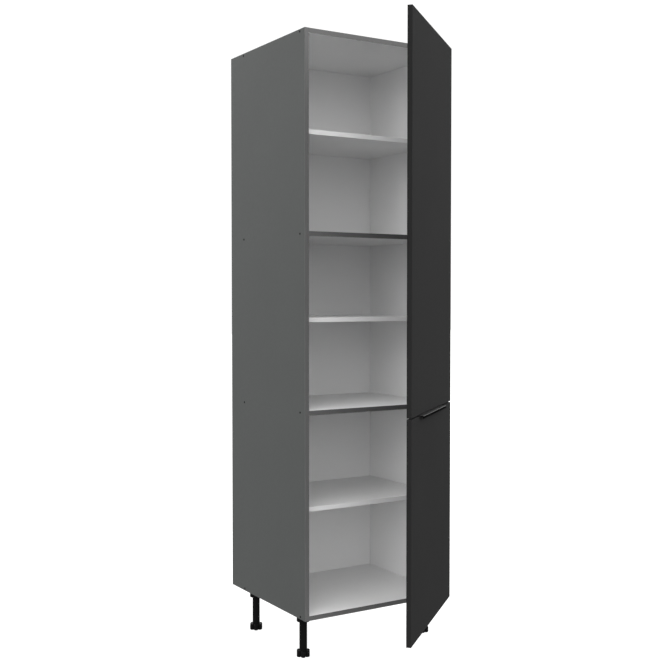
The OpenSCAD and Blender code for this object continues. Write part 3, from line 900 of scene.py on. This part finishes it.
def make_handle(finishes):
    """The folded edge handle: a lip that hangs in front, and a screwed flange behind."""
    edge = LOWER_DOOR[1]
    top = edge + HANDLE_SHEET
    back = DOOR_BACK + HANDLE_FLANGE_SHEET
    lip = DOOR_FRONT - HANDLE_LIP
    lip_back = lip + HANDLE_SHEET
    profile = rounded([
        (DOOR_BACK, edge, 0),
        (DOOR_BACK, edge - HANDLE_FLANGE, 0.5),
        (back, edge - HANDLE_FLANGE, 0.5),
        (back, top, 1.6),
        (lip, top, 2.4),
        (lip, top - HANDLE_DROP, 0.8),
        (lip_back, top - HANDLE_DROP, 0.8),
        (lip_back, edge, 0.7),
    ])
    bm = bmesh.new()
    prism(bm, profile, *HANDLE, ALONG_X)
    ends = [e for e in bm.edges if abs(e.verts[0].co.x - e.verts[1].co.x) < ON_AXIS]
    bmesh.ops.bevel(bm, geom=ends, offset=0.25, offset_type="OFFSET", segments=2, profile=0.5,
                    affect="EDGES", clamp_overlap=True)
    piece("edge_pull", bm, [finishes["handle"], finishes["handle_top"]], "lower_door",
          ["edge_handle"], SWUNG, handle_screw_holes(),
          # Upward faces near the top of the handle take the painted highlight black
          paint=lambda centre, normal: 1 if normal.z > 0.4 and centre.z > top - 2.5 else 0,
          smooth=30)


# ---- Concealed hinges ----

# The outline of an arm from above: how far it stands off the block, place along Y, corner radius
ARM_OUTLINE = (
    (0, 60, 1.5), (0, 9, 1), (2, 2, 2), (3, -9, 1), (7, -9, 1.5), (7, 3, 2), (6, 12, 2),
    (6, 58, 1), (4, 60, 1),
)


def slab(width, height, radius):
    """The outline of a rounded rectangle about the origin."""
    w, h = width / 2, height / 2
    return rounded([(-w, -h, radius), (w, -h, radius), (w, h, radius), (-w, h, radius)], 8)


def make_hinge_mounts(finishes):
    """What stays on the side panel: the plates and the arms, with seats for their screws."""
    wings, blocks, arms = bmesh.new(), bmesh.new(), bmesh.new()
    plate_holes, arm_holes = bmesh.new(), bmesh.new()
    wing_x = WALL - WING[-1]
    block_x = WALL - BLOCK[-1]
    for z in HINGE_ZS["lower"] + HINGE_ZS["upper"]:
        wing = Matrix.Translation((WALL, WING_Y, z)) @ OFF_WALL
        bevel(wings, 0.4, 2, verts=prism(wings, slab(*WING[:3]), 0, WING[-1], wing),
              chosen=lambda m: m.x < wing_x + 0.1)
        block = Matrix.Translation((WALL, BLOCK_Y, z)) @ OFF_WALL
        bevel(blocks, 0.7, 2, verts=prism(blocks, slab(*BLOCK[:3]), 0, BLOCK[-1], block),
              chosen=lambda m: m.x < block_x + 0.1)
        outline = [(block_x - p[0], p[1]) for p in rounded(ARM_OUTLINE, 4)]
        verts = prism(arms, outline[::-1], z - ARM_HALF, z + ARM_HALF)
        bevel(arms, 0.9, 3, lambda m, z=z: abs(m.z - z) > ARM_HALF - 0.1, verts)
        for s in (-1, 1):
            place = turned((wing_x, WING_Y, z + s * PLATE_SCREW_REACH), "Y", -90)
            screw_hole(plate_holes, PLATE_SCREW, place)
        for y in ARM_SCREW_YS:
            place = turned((block_x - ARM_RISE, y, z), "Y", -90)
            screw_hole(plate_holes, ARM_SCREW, place)
            screw_hole(arm_holes, ARM_SCREW, place)
        slot = Matrix.Translation((block_x - ARM_SLOT_FLOOR, ARM_SLOT_Y, z)) @ OFF_WALL
        prism(arm_holes, slab(*ARM_SLOT), -1.6, 0.8, slot)
    plates = combined(wings, blocks, "UNION")
    piece("hinge_base_plates", plates, [finishes["nickel"]], "carcass", ["hinge_mounting_plates"],
          holes=plate_holes, smooth=30)
    piece("hinge_arm_channels", arms, [finishes["nickel"]], "carcass", ["hinge_arms"],
          holes=arm_holes, smooth=30)


def make_hinge_cups(door, finishes):
    """The cups of a door's hinges: flanges with two ears, and a bowl sunk in the door."""
    flanges, bowls, holes = bmesh.new(), bmesh.new(), bmesh.new()
    ears = rounded([(-13, -28, 6), (9, -28, 6), (9, 28, 6), (-13, 28, 6)], 8)
    inner, outer = CUP_RADIUS - CUP_WALL, CUP_RADIUS - HAIR
    rim, floor = outer + CUP_RIM, -CUP_DEPTH
    profile = [
        (0, floor), (outer - 1.5, floor), (outer - 0.4, floor + 0.4), (outer, floor + 1.5),
        (outer, 0), (rim, 0), (rim, FLANGE - 0.4), (rim - 0.4, FLANGE),
        (inner + 0.4, FLANGE), (inner, FLANGE - 0.4), (inner, floor + 3),
        (inner - 0.6, floor + 1.6), (inner - 2, floor + 1), (0, floor + 1),
    ]
    for z in HINGE_ZS[door]:
        place = Matrix.Translation((CUP_X, DOOR_BACK, z)) @ OFF_DOOR
        bevel(flanges, 0.35, 2, verts=prism(flanges, ears, 0, FLANGE - 0.2, place),
              chosen=lambda m: m.y > DOOR_BACK + FLANGE - 0.25)
        rod(holes, inner + 0.4, -1, 2, place)
        for s in (-1, 1):
            spot = turned((CUP_SCREW_X, DOOR_BACK + FLANGE, z + s * CUP_SCREW_REACH), "X", -90)
            screw_hole(holes, CUP_SCREW, spot)
        lathe(bowls, profile, turned((CUP_X, DOOR_BACK, z), "X", -90), 64)
    cups = combined(combined(flanges, holes, "DIFFERENCE"), bowls, "UNION")
    piece(door + "_cup_bowls", cups, [finishes["nickel"]], door + "_door", [door + "_hinge_cups"],
          SWUNG, smooth=30)


def make_hinge_links(door, finishes):
    """Two riveted link plates for each hinge, which turn with the door."""
    links, rivets = bmesh.new(), bmesh.new()
    along = (LINK_TIP - LINK_ROOT).normalized() * LINK_RADIUS
    across = Vector((-along.y, along.x))
    ends = (LINK_ROOT - along - across, LINK_TIP + along - across, LINK_TIP + along + across,
            LINK_ROOT - along + across)
    outline = rounded([(p.x, p.y, LINK_RADIUS - 0.1) for p in ends], 8)
    head = [(0, 0.5), (2.2, 0.5), (2.2, 0.9), (1.6, 1.3), (0, 1.4)]
    for z in HINGE_ZS[door]:
        for s in (-1, 1):
            middle = z + s * LINK_PLACE
            verts = prism(links, outline, middle - LINK_HALF, middle + LINK_HALF)
            bevel(links, 0.3, 2, lambda m, at=middle: abs(m.z - at) > LINK_HALF - 0.05, verts)
            for x, y in (LINK_ROOT, LINK_TIP):
                lathe(rivets, head, turned((x, y, middle), "X", 0 if s > 0 else 180), 20)
    riveted = combined(links, rivets, "UNION")
    piece(door + "_link_plates", riveted, [finishes["nickel"]], door + "_door",
          [door + "_hinge_links"], SWUNG, smooth=30)


# ---- Wall brackets and legs ----

def make_wall_brackets(finishes):
    """Two angles between the sides and the wall behind, each with a hole for a wall screw."""
    bm, holes = bmesh.new(), bmesh.new()
    top, low = BRACKET_TOP, BRACKET_TOP - BRACKET_HEIGHT
    inner = DEPTH - BRACKET_SHEET
    for side in (-1, 1):
        wall = side * WALL
        face = wall - side * BRACKET_SHEET
        end = wall - side * BRACKET_WIDTH
        outline = rounded([
            (wall, BRACKET_FRONT, 0.8), (wall, DEPTH, 2.2), (end, DEPTH, 0.8),
            (end, inner, 0.8), (face, inner, 0.6), (face, BRACKET_FRONT, 0.8),
        ])
        verts = prism(bm, outline if side < 0 else outline[::-1], low, top)
        bevel(bm, 0.4, 2, lambda m: m.z > top - 0.1 or m.z < low + 0.1, verts)
        place = turned((side * BRACKET_HOLE_X, DEPTH, (low + top) / 2), "X", 90)
        rod(holes, BRACKET_HOLE_RADIUS, -2, 5, place)
        for drop in BRACKET_SCREW_DROPS:
            place = turned((face, BRACKET_SCREW_Y, top - drop), "Y", -90 * side)
            screw_hole(holes, BRACKET_SCREW, place)
    piece("wall_angle_brackets", bm, [finishes["zinc"]], "carcass", ["wall_brackets"],
          holes=holes, smooth=30)


def make_legs(finishes):
    """Sockets with a screwed flange and a collar, and tubes with a plug for the foot's thread."""
    sockets, tubes, holes = bmesh.new(), bmesh.new(), bmesh.new()
    bore, collar, flange = TUBE_RADIUS + HAIR, SOCKET_RADIUS, SOCKET_FLANGE_RADIUS
    socket_profile = [
        (0, TUBE_TOP), (bore, TUBE_TOP), (bore, 0.5 - SOCKET_DEPTH),
        (TUBE_RADIUS + 0.6, -SOCKET_DEPTH), (collar - 2, -SOCKET_DEPTH),
        (collar - 0.6, 0.6 - SOCKET_DEPTH), (collar, 2 - SOCKET_DEPTH), (collar, -SOCKET_FLANGE),
        (flange - 0.7, -SOCKET_FLANGE), (flange, 0.7 - SOCKET_FLANGE), (flange, -0.3),
        (flange - 0.3, 0), (0, 0),
    ]
    outer, inner = TUBE_RADIUS, TUBE_RADIUS - TUBE_WALL
    end = -LEG_HEIGHT + FOOT_HEIGHT + FOOT_GAP
    plug = end + TUBE_PLUG
    tube_profile = [
        (NUT_RADIUS, end), (outer - 0.8, end), (outer - 0.2, end + 0.2), (outer, end + 0.8),
        (outer, plug - 0.4), (outer - 0.35, plug), (outer - 0.35, plug + 1), (outer, plug + 1.4),
        (outer, TUBE_TOP), (inner, TUBE_TOP), (inner, plug), (NUT_RADIUS, plug),
    ]
    for x, y in LEG_PLACES.values():
        place = Matrix.Translation((x, y, 0))
        lathe(sockets, socket_profile, place, 64)
        lathe(tubes, tube_profile, place, 64)
        for i in range(4):
            angle = math.radians(45 + 90 * i)
            spot = (x + SOCKET_SCREW_RADIUS * math.cos(angle),
                    y + SOCKET_SCREW_RADIUS * math.sin(angle), -SOCKET_FLANGE)
            screw_hole(holes, LEG_SCREW, turned(spot, "X", 180))
    piece("leg_socket_rings", sockets, [finishes["plastic"]], "carcass", ["leg_sockets"],
          holes=holes, smooth=30)
    piece("leg_tube_bodies", tubes, [finishes["plastic"]], "carcass", ["leg_tubes"],
          smooth=30)


def foot_radius(angle):
    """The lobed outline of a foot: round lobes about a round core."""
    centre = FOOT_RADIUS - LOBE_RADIUS
    pitch = 2 * math.pi / FOOT_LOBES
    nearest = (angle + pitch / 2) % pitch - pitch / 2
    under = LOBE_RADIUS ** 2 - (centre * math.sin(nearest)) ** 2
    radius = centre * math.cos(nearest) + math.sqrt(max(under, 0))
    return max(radius, FOOT_CORE_RADIUS)


def make_foot(corner, finishes):
    """A foot that screws into its tube: a lobed body with rounded edges on a threaded stem."""
    x, y = LEG_PLACES[corner]
    curve = [math.radians(a) for a in (0, 22.5, 45, 67.5, 90)]
    levels = [(FOOT_ROUNDING * (1 - math.sin(a)), FOOT_ROUNDING * (1 - math.cos(a)))
              for a in curve]
    levels += [(d, FOOT_HEIGHT - h) for d, h in reversed(levels)]
    bm = bmesh.new()
    rings = []
    for inset, height in levels:
        ring = []
        for i in range(FOOT_STEPS):
            angle = 2 * math.pi * i / FOOT_STEPS
            radius = min(foot_radius(angle), FOOT_RADIUS) - inset
            ring.append(bm.verts.new((radius * math.cos(angle), radius * math.sin(angle), height)))
        rings.append(ring)
    bm.faces.new(rings[0][::-1])
    for first, second in zip(rings, rings[1:]):
        for i in range(FOOT_STEPS):
            j = (i + 1) % FOOT_STEPS
            bm.faces.new((first[i], first[j], second[j], second[i]))
    bm.faces.new(rings[-1])
    root, crest = STEM_RADIUS, THREAD_RADIUS
    thread = [(0, FOOT_HEIGHT - 1), (root, FOOT_HEIGHT - 1)]
    for i in range(THREAD_TURNS):
        z = FOOT_HEIGHT + 0.5 + THREAD_PITCH * i
        thread += [(root, z), (root, z + 0.3), (crest, z + 0.8), (crest, z + 1.1), (root, z + 1.6)]
    thread += [(root, STEM_TOP - 1), (root - 0.8, STEM_TOP), (0, STEM_TOP)]
    stem = bmesh.new()
    lathe(stem, thread, segments=32)
    whole = combined(bm, stem, "UNION")
    place = Matrix.Scale(MM, 4) @ Matrix.Translation((x, y - FRAME_Y, 0))
    piece(corner + "_levelling_foot", whole, [finishes["plastic"]], corner + "_adjuster",
          [corner + "_foot"], place, smooth=35)


# ---- CAD nodes that are shown as they are: screws, dowels and pins ----

CARRIED = {
    "confirmat_screws": "black_steel",
    "assembly_dowels": "beech",
    "back_panel_screws": "zinc",
    "lower_shelf_pins": "pin_nickel",
    "middle_shelf_pins": "pin_nickel",
    "upper_shelf_pins": "pin_nickel",
    "mounting_plate_screws": "nickel",
    "hinge_arm_screws": "nickel",
    "wall_bracket_screws": "zinc",
    "leg_socket_screws": "zinc",
    "upper_cup_screws": "nickel",
    "lower_cup_screws": "nickel",
    "handle_screws": "black_steel",
}


def dress_carried_nodes(finishes):
    """Gives the nodes that are shown as the CAD made them a finish of this file."""
    for name, finish_name in CARRIED.items():
        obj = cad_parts[name]
        obj.data.materials.clear()
        obj.data.materials.append(finishes[finish_name])
        weld = obj.modifiers.new("weld", "WELD")
        weld.merge_threshold = WELD * MM


# ---- The scene ----

bpy.context.scene.view_settings.view_transform = "Standard"
make_camera()
make_world()
make_floor()
library = make_finishes()
make_carcass(library)
make_loose_shelves(library)
make_door("lower", *LOWER_DOOR, library)
make_door("upper", *UPPER_DOOR, library)
make_handle(library)
make_hinge_mounts(library)
for door_name in HINGE_ZS:
    make_hinge_cups(door_name, library)
    make_hinge_links(door_name, library)
make_wall_brackets(library)
make_legs(library)
for corner in LEG_PLACES:
    make_foot(corner, library)
dress_carried_nodes(library)
